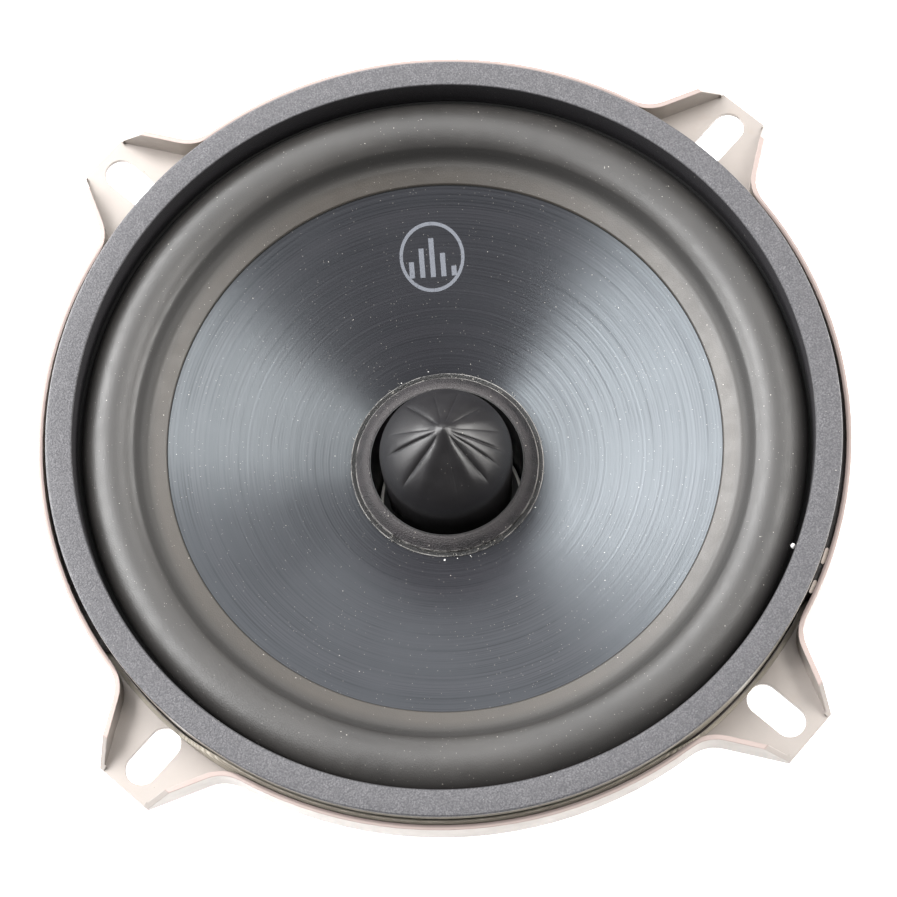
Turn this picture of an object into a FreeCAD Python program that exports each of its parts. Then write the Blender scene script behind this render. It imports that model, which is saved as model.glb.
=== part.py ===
import FreeCAD, Part
import math
import os

from FreeCAD import Vector

# A 13 cm round car loudspeaker driver with a fluted phase plug, in millimetres.
# +Z runs along its axis, out of the front. z = 0 is the rear face of the four ears,
# which is the plane that the driver is screwed down on. The ears lie on +X, +Y, -X, -Y.

# ---------- driving dimensions ----------
SHEET = 0.8                 # basket steel
LIP_R = 65.0                # outer radius of the upturned lip
LIP_TOP = 5.7
EAR_TIP_R = 75.8
EAR_TIP_HALF = 5.1
EAR_SPREAD_DEG = 27.6       # each side of an ear spreads by this towards the basket
EAR_FILLET = 6.0
EAR_LIP_SLOPE = 3.8         # length of the sloping end of an ear's side lip
SLOT_R = 69.0               # radius of the slot's centre
SLOT_WIDTH = 5.1
SLOT_LENGTH = 10.4

RING_IN = 59.1
RING_OUT = 63.4
RING_TOP = 8.2
RING_STEP = 0.3             # the ring's lower layer is smaller by this
RING_STEP_Z = 6.2
FLANGE_THICK = 1.0          # the surround's outer flange, between basket and ring
RING_BASE = SHEET + FLANGE_THICK

WALL_TOP_R = 57.2           # mid radius of the drawn wall at the flange
WALL_LOW_R = 56.4
WALL_LOW_Z = -8.0
LEDGE_Z = -20.0             # top face of the ledge that carries the spider
LEDGE_OUT_R = 41.0
LEDGE_IN_R = 34.2
FLOOR_Z = -32.0             # top face of the basket's floor
FLOOR_R = 32.4
FLOOR_HOLE_R = 14.6
BEND = 1.6

WINDOW_TOP_Z = -9.8
WINDOW_LOW_Z = -19.2
WINDOW_TOP_HALF = 26.0
WINDOW_LOW_HALF = 20.0
WINDOW_CORNER = 2.5
VENT_LENGTH = 13.0
VENT_HEIGHT = 4.6
VENT_Z = -26.0

PLATE_THICK = 5.0
PLATE_R = 37.5
PLATE_HOLE_R = 13.75
MAGNET_R = 40.0
MAGNET_HOLE_R = 17.5
MAGNET_THICK = 14.0
YOKE_THICK = 5.0
POLE_R = 12.2
PLATE_TOP = FLOOR_Z - SHEET
MAGNET_TOP = PLATE_TOP - PLATE_THICK
YOKE_TOP = MAGNET_TOP - MAGNET_THICK
BACK_Z = YOKE_TOP - YOKE_THICK

CONE_EDGE_R = 44.84         # where the surround's inner lip begins on the cone
CONE_EDGE_Z = -0.6          # the cone's front face there
CONE_SLOPE = 0.41
CONE_THICK = 0.5
CONE_RIM_R = 48.6
FORMER_IN = 12.6
FORMER_OUT = 12.75
FORMER_TOP = -10.95
FORMER_LOW = -42.0
GLUE_GAP = 0.02
COLLAR_OUT = 15.96
WINDING_OUT = 13.35
WINDING_TOP = -29.3
WINDING_LOW = -41.3

ROLL_IN = 49.5              # mid radii of the surround's roll
ROLL_OUT = 58.05
ROLL_TOP = 4.8
RUBBER = 0.8
SPIDER_THICK = 0.6
SPIDER_OUT = 40.0
SPIDER_IN = 13.6
SPIDER_WAVES = 5
SPIDER_WAVE_HALF = 1.0

PLUG_TIP_Z = 6.0
PLUG_WIDE_R = 10.85
PLUG_WIDE_Z = -6.2
PLUG_STEM_R = 10.05
SCREW_R = 2.0
SCREW_HEAD_R = 3.9
SCREW_HEAD_HIGH = 2.4
SCREW_CLEAR = 0.1
COUNTERBORE_R = 4.4
COUNTERBORE_DEEP = 3.0
SCREW_TOP = -24.0

RIVET_CIRCLE_R = 24.0
RIVET_R = 2.0
RIVET_HEAD_R = 3.2
RIVET_HEAD_HIGH = 1.2
RIVET_DEEP = 4.0

BOARD_HALF = 11.0
BOARD_IN_Y = -43.6
BOARD_OUT_Y = -50.5
BOARD_THICK = 1.6
BLADE_THICK = 0.8
BLADE_TIP_Y = -56.5
BLADE_TAB_Y = -40.6
TAB_HALF = 1.6
RIVET_LINE_Y = -47.2
POSITIVE_X = 6.3
POSITIVE_WIDTH = 6.3
NEGATIVE_X = -6.0
NEGATIVE_WIDTH = 4.8
EYELET_R = 1.2
EYELET_HEAD_R = 1.9
EYELET_HEAD_HIGH = 0.4
EYELET_CLEAR = 0.05
TONGUE_HALF = 3.0
TONGUE_OUT_Y = -49.6
LEAD_R = 0.45
SOLDER_IN_Y = -41.0
SOLDER_OUT_Y = -43.3
SOLDER_HIGH = 1.3
PAD_OUT_Y = -21.9
PAD_IN_Y = -19.3
WIRE_R = 0.18
WIRE_PATH_R = 13.2          # radius at which the lead-out wires run down the former

QUARTERS = (0, 90, 180, 270)
DIAGONALS = (45, 135, 225, 315)
UP = Vector(0, 0, 1)
ORIGIN = Vector(0, 0, 0)


# ---------- shared geometry ----------
def revolve(face):
    return face.revolve(ORIGIN, UP, 360)


def in_section(point):
    return Vector(point[0], 0, point[1])


def polygon_face(points, place):
    corners = [place(p) for p in points]
    return Part.Face(Part.makePolygon(corners + corners[:1]))


def turned(points):
    # a solid of revolution from (radius, height) corners
    return revolve(polygon_face(points, in_section))


def tube(r_in, r_out, z_low, z_high):
    return turned([(r_in, z_low), (r_out, z_low), (r_out, z_high), (r_in, z_high)])


def spun(shape, degrees):
    copy = shape.copy()
    copy.rotate(ORIGIN, UP, degrees)
    return copy


def around(shape, angles):
    return Part.makeCompound([spun(shape, a) for a in angles])


def box(x0, x1, y0, y1, z0, z1):
    return Part.makeBox(x1 - x0, y1 - y0, z1 - z0, Vector(x0, y0, z0))


def post(x, y, radius, z_low, z_high):
    return Part.makeCylinder(radius, z_high - z_low, Vector(x, y, z_low))


def offset_points(points, distance):
    # the corners of a line of runs, moved sideways by the distance
    normals = []
    for a, b in zip(points, points[1:]):
        length = math.dist(a, b)
        normals.append(((a[1] - b[1]) / length, (b[0] - a[0]) / length))
    ends = [normals[0]] + normals + [normals[-1]]
    moved = []
    for point, before, after in zip(points, ends, ends[1:]):
        scale = distance / (1 + before[0] * after[0] + before[1] * after[1])
        moved.append((point[0] + scale * (before[0] + after[0]), point[1] + scale * (before[1] + after[1])))
    return moved


def rounded_runs(points, radii):
    # straight runs through Vector points, joined by tangent arcs
    edges = []
    start = points[0]
    for corner, before, after, radius in zip(points[1:-1], points, points[2:], radii):
        inward = (before - corner).normalize()
        outward = (after - corner).normalize()
        half = inward.getAngle(outward) / 2
        if radius < 1e-6 or half > math.pi / 2 - 1e-6:
            edges.append(Part.LineSegment(start, corner).toShape())
            start = corner
            continue
        reach = radius / math.tan(half)
        first = corner + inward * reach
        last = corner + outward * reach
        middle_way = (inward + outward).normalize()
        middle = corner + middle_way * (radius / math.sin(half) - radius)
        edges.append(Part.LineSegment(start, first).toShape())
        edges.append(Part.Arc(first, middle, last).toShape())
        start = last
    edges.append(Part.LineSegment(start, points[-1]).toShape())
    return edges


def turn_sign(before, corner, after):
    run = (corner[0] - before[0], corner[1] - before[1])
    way_on = (after[0] - corner[0], after[1] - corner[1])
    return math.copysign(1, run[0] * way_on[1] - run[1] * way_on[0])


def strip(points, thickness, radii):
    # a turned shell whose wall follows the (radius, height) points at mid thickness
    half = thickness / 2
    signs = [turn_sign(*trio) for trio in zip(points, points[1:], points[2:])]
    left = [in_section(p) for p in offset_points(points, half)]
    right = [in_section(p) for p in offset_points(points, -half)]
    left_edges = rounded_runs(left, [r - s * half for r, s in zip(radii, signs)])
    right_edges = rounded_runs(right, [r + s * half for r, s in zip(radii, signs)])
    caps = [
        Part.LineSegment(left[0], right[0]).toShape(),
        Part.LineSegment(left[-1], right[-1]).toShape(),
    ]
    wire = Part.Wire(Part.__sortEdges__(left_edges + right_edges + caps))
    return revolve(Part.Face(wire))


def upright_edges(shape):
    return [e for e in shape.Edges if abs(e.tangentAt(e.FirstParameter).z) > 0.99]


def slot_prism(length, width, z_low, z_high, centre_x):
    # a round-ended slot along X
    half = (length - width) / 2
    body = box(centre_x - half, centre_x + half, -width / 2, width / 2, z_low, z_high)
    ends = [post(centre_x + s * half, 0, width / 2, z_low, z_high) for s in (-1, 1)]
    return body.fuse(ends)


def cone_front(radius):
    return CONE_EDGE_Z + (radius - CONE_EDGE_R) * CONE_SLOPE


def cone_mid(radius):
    return cone_front(radius) - CONE_THICK / 2 * math.hypot(1, CONE_SLOPE)


def cone_back(radius):
    return cone_front(radius) - CONE_THICK * math.hypot(1, CONE_SLOPE)


# ---------- basket ----------
def ear_side(x):
    return EAR_TIP_HALF + (EAR_TIP_R - x) * math.tan(math.radians(EAR_SPREAD_DEG))


def frame_outline(height):
    # the disc and its four ears, with hollow fillets where they meet
    root = LIP_R - 9
    corners = [(root, -ear_side(root)), (EAR_TIP_R, -EAR_TIP_HALF)]
    corners += [(x, -y) for x, y in reversed(corners)]
    ear = polygon_face(corners, lambda p: Vector(p[0], p[1], 0)).extrude(Vector(0, 0, height))
    plate = Part.makeCylinder(LIP_R, height).fuse([spun(ear, a) for a in QUARTERS]).removeSplitter()
    hollow = [e for e in plate.Edges if is_ear_root(e)]
    return plate.makeFillet(EAR_FILLET, hollow)


def is_ear_root(edge):
    ends = [v.Point for v in edge.Vertexes]
    if len(ends) != 2 or abs(ends[0].z - ends[1].z) < 0.1:
        return False
    radius = math.hypot(ends[0].x, ends[0].y)
    return math.hypot(ends[0].x - ends[1].x, ends[0].y - ends[1].y) < 0.01 and abs(radius - LIP_R) < 0.5


def tip_cutter():
    # clears the lip off an ear's tip, down a slope along its two sides
    high = LIP_TOP + 1
    start = EAR_TIP_R - EAR_LIP_SLOPE
    run = (high - SHEET) / (LIP_TOP - SHEET) * EAR_LIP_SLOPE
    corners = [(EAR_TIP_R + 1, SHEET), (EAR_TIP_R, SHEET), (EAR_TIP_R - run, high), (EAR_TIP_R + 1, high)]
    wedge = polygon_face(corners, in_section).extrude(Vector(0, 30, 0))
    wedge.translate(Vector(0, -15, 0))
    clear_half = EAR_TIP_HALF - SHEET
    return wedge.fuse(box(start, EAR_TIP_R + 1, -clear_half, clear_half, SHEET, high))


def rim():
    # flange, ears and the lip that stands up round them all
    outside = frame_outline(LIP_TOP)
    floor_face = min(outside.Faces, key=lambda f: f.CenterOfMass.z)
    inside = Part.Face(floor_face.OuterWire).makeOffset2D(-SHEET).extrude(Vector(0, 0, LIP_TOP + 1))
    inside.translate(Vector(0, 0, SHEET))
    cutters = [inside] + [spun(tip_cutter(), a) for a in QUARTERS]
    shape = outside.cut(cutters)
    holes = [spun(slot_prism(SLOT_LENGTH, SLOT_WIDTH, -1, SHEET + 1, SLOT_R), a) for a in QUARTERS]
    return shape.cut(holes + [Part.makeCylinder(WALL_TOP_R + BEND + 1, 2 * LIP_TOP, Vector(0, 0, -1))])


def bowl():
    half = SHEET / 2
    line = [
        (WALL_TOP_R + BEND + 2, half),
        (WALL_TOP_R, half),
        (WALL_LOW_R, WALL_LOW_Z),
        (LEDGE_OUT_R, LEDGE_Z - half),
        (LEDGE_IN_R, LEDGE_Z - half),
        (FLOOR_R, FLOOR_Z - half),
        (FLOOR_HOLE_R, FLOOR_Z - half),
    ]
    return strip(line, SHEET, [BEND] * 5)


def window_cutter():
    # a round-cornered opening between two spokes, cut along +X
    corners = [
        Vector(LEDGE_IN_R, -WINDOW_LOW_HALF, WINDOW_LOW_Z),
        Vector(LEDGE_IN_R, WINDOW_LOW_HALF, WINDOW_LOW_Z),
        Vector(LEDGE_IN_R, WINDOW_TOP_HALF, WINDOW_TOP_Z),
        Vector(LEDGE_IN_R, -WINDOW_TOP_HALF, WINDOW_TOP_Z),
    ]
    prism = Part.Face(Part.makePolygon(corners + corners[:1])).extrude(Vector(LIP_R - LEDGE_IN_R, 0, 0))
    along = [e for e in prism.Edges if abs(e.tangentAt(e.FirstParameter).x) > 0.99]
    return prism.makeFillet(WINDOW_CORNER, along)


def vent_cutter():
    slot = slot_prism(VENT_LENGTH, VENT_HEIGHT, 0, 12, 0)
    slot.rotate(ORIGIN, Vector(1, 0, 0), 90)
    slot.rotate(ORIGIN, UP, 90)
    slot.translate(Vector(FLOOR_R - 6, 0, VENT_Z))
    return slot


def tongue():
    # the flat tongue left in one window to carry the terminal board
    flat = box(-TONGUE_HALF, TONGUE_HALF, TONGUE_OUT_Y, -LEDGE_OUT_R + 2, LEDGE_Z - SHEET, LEDGE_Z)
    corners = [e for e in upright_edges(flat) if e.CenterOfMass.y < RIVET_LINE_Y]
    flat = flat.makeFillet(1.2, corners)
    return flat.cut(post(0, RIVET_LINE_Y, EYELET_R + EYELET_CLEAR, LEDGE_Z - 3, LEDGE_Z + 3))


def rivet_holes():
    hole = post(RIVET_CIRCLE_R, 0, RIVET_R + EYELET_CLEAR, FLOOR_Z - SHEET - RIVET_DEEP, FLOOR_Z + 1)
    return around(hole, DIAGONALS)


def basket():
    cutters = [spun(window_cutter(), a) for a in QUARTERS]
    cutters += [spun(vent_cutter(), a) for a in DIAGONALS]
    cutters += rivet_holes().Solids
    shell = bowl().cut(cutters)
    return rim().fuse([shell, tongue()]).removeSplitter()


# ---------- front ring and motor ----------
def gasket_ring():
    edge = 0.3
    low_r = RING_OUT - RING_STEP
    return turned([
        (RING_IN, RING_BASE),
        (low_r, RING_BASE),
        (low_r, RING_STEP_Z),
        (RING_OUT, RING_STEP_Z + edge),
        (RING_OUT, RING_TOP - edge),
        (RING_OUT - edge, RING_TOP),
        (RING_IN + edge, RING_TOP),
        (RING_IN, RING_TOP - edge),
    ])


def front_plate():
    bevel = 0.5
    plate = turned([
        (PLATE_HOLE_R, MAGNET_TOP),
        (PLATE_R, MAGNET_TOP),
        (PLATE_R, PLATE_TOP - bevel),
        (PLATE_R - bevel, PLATE_TOP),
        (PLATE_HOLE_R, PLATE_TOP),
    ])
    return plate.cut(rivet_holes().Solids)


def magnet():
    bevel = 0.9
    return turned([
        (MAGNET_HOLE_R, YOKE_TOP),
        (MAGNET_R - bevel, YOKE_TOP),
        (MAGNET_R, YOKE_TOP + bevel),
        (MAGNET_R, MAGNET_TOP - bevel),
        (MAGNET_R - bevel, MAGNET_TOP),
        (MAGNET_HOLE_R, MAGNET_TOP),
    ])


def t_yoke():
    bevel = 2.0
    hole = SCREW_R + SCREW_CLEAR
    return turned([
        (COUNTERBORE_R, BACK_Z),
        (PLATE_R - bevel, BACK_Z),
        (PLATE_R, BACK_Z + bevel),
        (PLATE_R, YOKE_TOP),
        (POLE_R, YOKE_TOP),
        (POLE_R, FLOOR_Z),
        (hole, FLOOR_Z),
        (hole, BACK_Z + COUNTERBORE_DEEP),
        (COUNTERBORE_R, BACK_Z + COUNTERBORE_DEEP),
    ])


def plate_rivets():
    shank = post(RIVET_CIRCLE_R, 0, RIVET_R, FLOOR_Z - SHEET - RIVET_DEEP, FLOOR_Z)
    head = Part.makeCone(RIVET_HEAD_R, RIVET_HEAD_R - 1, RIVET_HEAD_HIGH, Vector(RIVET_CIRCLE_R, 0, FLOOR_Z))
    return around(shank.fuse(head), DIAGONALS)


def phase_plug():
    # an onion dome on a slightly tapered body that stands on the pole
    dome = [
        Vector(0, 0, PLUG_TIP_Z),
        Vector(1.1, 0, PLUG_TIP_Z - 0.7),
        Vector(2.6, 0, PLUG_TIP_Z - 2.2),
        Vector(5.2, 0, PLUG_TIP_Z - 4.3),
        Vector(8.6, 0, PLUG_TIP_Z - 7.7),
        Vector(10.3, 0, PLUG_TIP_Z - 10.3),
        Vector(PLUG_WIDE_R, 0, PLUG_WIDE_Z),
    ]
    curve = Part.BSplineCurve()
    curve.interpolate(dome)
    foot = Vector(PLUG_STEM_R, 0, FLOOR_Z)
    middle = Vector(10.65, 0, (PLUG_WIDE_Z + FLOOR_Z) / 2)
    body_side = Part.Arc(dome[-1], middle, foot)
    hole_r = SCREW_R + SCREW_CLEAR
    rest = [
        foot,
        Vector(hole_r, 0, FLOOR_Z),
        Vector(hole_r, 0, SCREW_TOP + 1),
        Vector(0, 0, SCREW_TOP + 1),
        dome[0],
    ]
    runs = [Part.LineSegment(a, b).toShape() for a, b in zip(rest, rest[1:])]
    return revolve(Part.Face(Part.Wire([curve.toShape(), body_side.toShape()] + runs)))


def plug_screw():
    seat = BACK_Z + COUNTERBORE_DEEP
    shank = post(0, 0, SCREW_R, seat, SCREW_TOP)
    head = post(0, 0, SCREW_HEAD_R, seat - SCREW_HEAD_HIGH, seat)
    drive = Part.makeBox(5.2, 0.9, 1.2, Vector(-2.6, -0.45, seat - SCREW_HEAD_HIGH))
    cross = spun(drive, 90)
    return shank.fuse(head).cut([drive, cross])


# ---------- moving assembly ----------
def cone():
    neck_r = FORMER_OUT + GLUE_GAP + CONE_THICK / 2
    line = [
        (neck_r, cone_mid(neck_r) - 1.7),
        (neck_r, cone_mid(neck_r)),
        (CONE_RIM_R, cone_mid(CONE_RIM_R)),
    ]
    return strip(line, CONE_THICK, [0.6])


def cone_collar():
    # covers the joint of cone and former: a thin foot on the cone and a band that rises to the former
    inner = FORMER_OUT + GLUE_GAP
    foot = 0.85
    foot_top = 0.3
    step_r = COLLAR_OUT - foot
    rise = 0.45
    return turned([
        (inner, cone_front(inner) + GLUE_GAP * 2),
        (COLLAR_OUT, cone_front(COLLAR_OUT) + GLUE_GAP * 2),
        (COLLAR_OUT, cone_front(COLLAR_OUT) + foot_top),
        (step_r, cone_front(step_r) + foot_top),
        (step_r, cone_front(step_r) + foot_top + rise),
        (inner + 0.35, FORMER_TOP),
        (inner, FORMER_TOP),
    ])


def voice_coil_former():
    return tube(FORMER_IN, FORMER_OUT, FORMER_LOW, FORMER_TOP)


def former_wrap():
    # a paper wrap that leaves a gap for the lead-out wires
    low = WINDING_TOP + 0.6
    high = cone_mid(FORMER_OUT) - 2.2
    band = tube(FORMER_OUT + GLUE_GAP, FORMER_OUT + GLUE_GAP + 0.2, low, high)
    half_deg = 30
    reach = 20
    width = reach * math.tan(math.radians(half_deg))
    gap = polygon_face([(0, 0), (-width, -reach), (width, -reach)], lambda p: Vector(p[0], p[1], low - 1))
    return band.cut(gap.extrude(Vector(0, 0, high - low + 2)))


def voice_coil_winding():
    return tube(FORMER_OUT + GLUE_GAP, WINDING_OUT, WINDING_LOW, WINDING_TOP)


def surround():
    lift = (CONE_THICK / 2 + GLUE_GAP + RUBBER / 2) * math.hypot(1, CONE_SLOPE)
    valley_r = ROLL_IN
    flange_z = SHEET + FLANGE_THICK / 2
    line = [
        (CONE_EDGE_R, cone_mid(CONE_EDGE_R) + lift),
        (valley_r, cone_mid(valley_r) + lift),
        (valley_r, ROLL_TOP),
        (ROLL_OUT, ROLL_TOP),
        (ROLL_OUT, flange_z),
        (ROLL_OUT + 2, flange_z),
    ]
    roll_bend = 3.1
    roll = strip(line, RUBBER, [0.5, roll_bend, roll_bend, 0.5])
    flange = tube(ROLL_OUT + 1.5, RING_OUT - RING_STEP, SHEET, SHEET + FLANGE_THICK)
    return roll.fuse(flange).removeSplitter()


def spider():
    # a flat outer rim on the ledge, then round waves in to the former
    mid = LEDGE_Z + SPIDER_THICK / 2
    first = SPIDER_OUT - 5.5
    last = SPIDER_IN + 2.6
    pitch = (first - last) / (2 * SPIDER_WAVES)
    line = [(SPIDER_OUT, mid), (first, mid)]
    for i in range(2 * SPIDER_WAVES - 1):
        side = 1 if i % 2 == 0 else -1
        line.append((first - (i + 1) * pitch, mid + side * SPIDER_WAVE_HALF))
    line += [(last, mid), (SPIDER_IN, mid)]
    return strip(line, SPIDER_THICK, [0.9] * (len(line) - 2))


# ---------- terminals and leads ----------
def eyelet(x, top, bottom):
    shank = post(x, RIVET_LINE_Y, EYELET_R, bottom, top)
    upper = post(x, RIVET_LINE_Y, EYELET_HEAD_R, top, top + EYELET_HEAD_HIGH)
    lower = post(x, RIVET_LINE_Y, EYELET_HEAD_R, bottom - EYELET_HEAD_HIGH, bottom)
    bore = post(x, RIVET_LINE_Y, 0.6, bottom - 1, top + 1)
    return shank.fuse([upper, lower]).cut(bore)


def eyelet_hole(x):
    return post(x, RIVET_LINE_Y, EYELET_R + EYELET_CLEAR, LEDGE_Z - 2, LEDGE_Z + 5)


def terminal_board():
    board = box(-BOARD_HALF, BOARD_HALF, BOARD_OUT_Y, BOARD_IN_Y, LEDGE_Z, LEDGE_Z + BOARD_THICK)
    board = board.makeFillet(1.2, upright_edges(board))
    return board.cut([eyelet_hole(x) for x in (POSITIVE_X, 0, NEGATIVE_X)])


def blade(x, width):
    low = LEDGE_Z + BOARD_THICK
    half = width / 2
    neck_y = BOARD_IN_Y - 1.2
    outline = [
        (x - half, neck_y),
        (x - half, BLADE_TIP_Y + 1.2),
        (x - half + 1.2, BLADE_TIP_Y),
        (x + half - 1.2, BLADE_TIP_Y),
        (x + half, BLADE_TIP_Y + 1.2),
        (x + half, neck_y),
        (x + TAB_HALF, neck_y),
        (x + TAB_HALF, BLADE_TAB_Y),
        (x - TAB_HALF, BLADE_TAB_Y),
        (x - TAB_HALF, neck_y),
    ]
    flat = polygon_face(outline, lambda p: Vector(p[0], p[1], low)).extrude(Vector(0, 0, BLADE_THICK))
    lock_hole = post(x, BLADE_TIP_Y + 2.9, 0.7, low - 1, low + 2)
    return flat.cut([eyelet_hole(x), lock_hole])


def terminal_rivets():
    top = LEDGE_Z + BOARD_THICK + BLADE_THICK
    return Part.makeCompound([eyelet(x, top, LEDGE_Z) for x in (POSITIVE_X, NEGATIVE_X)])


def board_rivet():
    return eyelet(0, LEDGE_Z + BOARD_THICK, LEDGE_Z - SHEET)


def solder_joints():
    low = LEDGE_Z + BOARD_THICK + BLADE_THICK
    joints = []
    for x in (POSITIVE_X, NEGATIVE_X):
        joint = box(x - 1.2, x + 1.2, SOLDER_OUT_Y, SOLDER_IN_Y, low, low + SOLDER_HIGH)
        upper = [e for e in joint.Edges if e.BoundBox.ZMin > low + 0.1]
        away = [e for e in upper if e.CenterOfMass.y < SOLDER_IN_Y - 0.1]
        joints.append(joint.makeFillet(0.5, away))
    return Part.makeCompound(joints)


def lead_points(x, end_x):
    # from the solder joint, over an arch above the spider, to the pad behind the cone
    start_z = LEDGE_Z + BOARD_THICK + BLADE_THICK + SOLDER_HIGH / 2
    drift = end_x - x
    return [
        Vector(x, SOLDER_IN_Y, start_z),
        Vector(x, -38.2, start_z),
        Vector(x + 0.10 * drift, -35.2, start_z + 1.9),
        Vector(x + 0.35 * drift, -32.0, start_z + 4.2),
        Vector(x + 0.65 * drift, -28.2, start_z + 5.0),
        Vector(end_x, -24.9, pad_mid_z()),
        Vector(end_x, PAD_OUT_Y, pad_mid_z()),
    ]


def largest_radii(points):
    radii = []
    for before, corner, after in zip(points, points[1:], points[2:]):
        turn = math.pi - (before - corner).getAngle(after - corner)
        shorter = min(before.distanceToPoint(corner), corner.distanceToPoint(after))
        radii.append(0.45 * shorter / math.tan(turn / 2))
    return radii


def round_lead(points, radius, bends):
    path = Part.Wire(rounded_runs(points, bends))
    start = points[0]
    section = Part.Wire(Part.makeCircle(radius, start, points[1] - start))
    lead = path.makePipeShell([section], True, True)
    ideal = math.pi * radius ** 2 * path.Length
    print("lead length %.1f mm, volume ratio %.4f, bends %s"
          % (path.Length, lead.Volume / ideal, ", ".join("%.1f" % b for b in bends)))
    return lead


def pad_x(sign):
    return sign * 4.6


def pad_mid_z():
    return cone_back((PAD_IN_Y ** 2 + pad_x(1) ** 2) ** 0.5) - 0.95


def tinsel_lead(x, sign):
    points = lead_points(x, pad_x(sign))
    return round_lead(points, LEAD_R, largest_radii(points))


def lead_pads():
    # small blocks glued behind the cone, their fronts cut to its slope
    mid = pad_mid_z()
    near_r = 10
    far_r = 50
    in_front = turned([
        (0, 10),
        (0, -30),
        (near_r, cone_back(near_r) - GLUE_GAP),
        (far_r, cone_back(far_r) - GLUE_GAP),
        (far_r, 10),
    ])
    pads = []
    for sign in (1, -1):
        x = pad_x(sign)
        block = box(x - 1.3, x + 1.3, PAD_OUT_Y, PAD_IN_Y, mid - 0.8, mid + 2.6)
        pads.append(block.cut(in_front))
    return Part.makeCompound(pads)


def coil_leadouts():
    # a wire from each pad to the former, then down to the winding
    wires = []
    for sign in (1, -1):
        x = pad_x(sign)
        y = -math.sqrt(WIRE_PATH_R ** 2 - x ** 2)
        points = [
            Vector(x, PAD_IN_Y, pad_mid_z()),
            Vector(x, PAD_IN_Y + 1.5, pad_mid_z()),
            Vector(x, y, cone_back(WIRE_PATH_R) - 2.4),
            Vector(x, y, WINDING_TOP),
        ]
        wires.append(round_lead(points, WIRE_R, [1.5, 1.0]))
    return Part.makeCompound(wires)


# ---------- output ----------
NODES = {
    "basket": basket,
    "gasket_ring": gasket_ring,
    "front_plate": front_plate,
    "plate_rivets": plate_rivets,
    "magnet": magnet,
    "t_yoke": t_yoke,
    "phase_plug": phase_plug,
    "plug_screw": plug_screw,
    "terminal_board": terminal_board,
    "board_rivet": board_rivet,
    "terminal_positive": lambda: blade(POSITIVE_X, POSITIVE_WIDTH),
    "terminal_negative": lambda: blade(NEGATIVE_X, NEGATIVE_WIDTH),
    "terminal_rivets": terminal_rivets,
    "solder_joints": solder_joints,
    "tinsel_lead_positive": lambda: tinsel_lead(POSITIVE_X, 1),
    "tinsel_lead_negative": lambda: tinsel_lead(NEGATIVE_X, -1),
    "surround": surround,
    "cone": cone,
    "cone_collar": cone_collar,
    "voice_coil_former": voice_coil_former,
    "former_wrap": former_wrap,
    "voice_coil_winding": voice_coil_winding,
    "coil_leadouts": coil_leadouts,
    "lead_pads": lead_pads,
    "spider": spider,
}

os.makedirs("parts", exist_ok=True)
for name, make in NODES.items():
    shape = make()
    facts = (name, shape.isValid(), len(shape.Solids), shape.Volume)
    print("%-22s valid %s, solids %d, volume %.1f mm3" % facts)
    shape.exportStep("parts/%s.step" % name)
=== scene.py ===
import math
import random

import bmesh
import bpy
from mathutils import Matrix, Vector
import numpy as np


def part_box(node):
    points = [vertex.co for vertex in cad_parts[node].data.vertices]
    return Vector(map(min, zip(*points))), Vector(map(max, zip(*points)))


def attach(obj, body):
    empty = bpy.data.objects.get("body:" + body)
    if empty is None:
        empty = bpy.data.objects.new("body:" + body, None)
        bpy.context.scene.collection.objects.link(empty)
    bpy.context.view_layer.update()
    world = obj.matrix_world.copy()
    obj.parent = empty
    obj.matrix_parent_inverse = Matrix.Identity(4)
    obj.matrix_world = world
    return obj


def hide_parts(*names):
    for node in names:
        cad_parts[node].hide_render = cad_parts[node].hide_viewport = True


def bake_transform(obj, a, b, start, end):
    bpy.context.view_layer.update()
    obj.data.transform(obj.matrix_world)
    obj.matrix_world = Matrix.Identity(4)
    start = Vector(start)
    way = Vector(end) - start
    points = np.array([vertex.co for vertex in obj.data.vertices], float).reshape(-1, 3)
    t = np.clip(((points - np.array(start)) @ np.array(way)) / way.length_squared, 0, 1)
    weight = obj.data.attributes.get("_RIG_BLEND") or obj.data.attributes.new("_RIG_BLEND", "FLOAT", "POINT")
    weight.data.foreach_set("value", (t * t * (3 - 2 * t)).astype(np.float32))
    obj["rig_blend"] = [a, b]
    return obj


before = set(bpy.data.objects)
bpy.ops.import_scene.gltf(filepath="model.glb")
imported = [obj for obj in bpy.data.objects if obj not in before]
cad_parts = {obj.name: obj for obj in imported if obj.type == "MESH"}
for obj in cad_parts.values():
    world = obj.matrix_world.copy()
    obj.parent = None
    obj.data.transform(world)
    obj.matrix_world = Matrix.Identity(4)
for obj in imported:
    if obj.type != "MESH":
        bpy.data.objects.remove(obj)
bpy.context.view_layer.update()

# A 13 cm car loudspeaker driver with a fluted phase plug.
# Sizes below are in millimetres in the row frame, and become metres where a mesh is made.
MM = 0.001

# ---------- sizes from the frame ----------


def low_mm(node):
    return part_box(node)[0] / MM


def high_mm(node):
    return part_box(node)[1] / MM


RING_OUT = high_mm("gasket_ring").x
RING_TOP = high_mm("gasket_ring").z
RING_LOW = low_mm("gasket_ring").z
RING_IN = 59.1
RING_LAYER_Z = 6.2            # the ring's lower layer ends here, and is 0.3 smaller
LIP_TOP = high_mm("basket").z
LIP_R = 65.0
LIP_IN = LIP_R - 0.8
FLANGE_LOW = RING_LOW - 1.0   # the surround's flat flange lies under the ring
FLANGE_OUT = RING_OUT - 0.3
ROLL_TOP = 4.8
ROLL_MID_R = 53.775
ROLL_HALF = 4.275
RUBBER = 0.8
LIP_EDGE_R = 44.84            # where the surround's inner lip begins on the cone
LIP_END_R = 48.3

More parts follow.
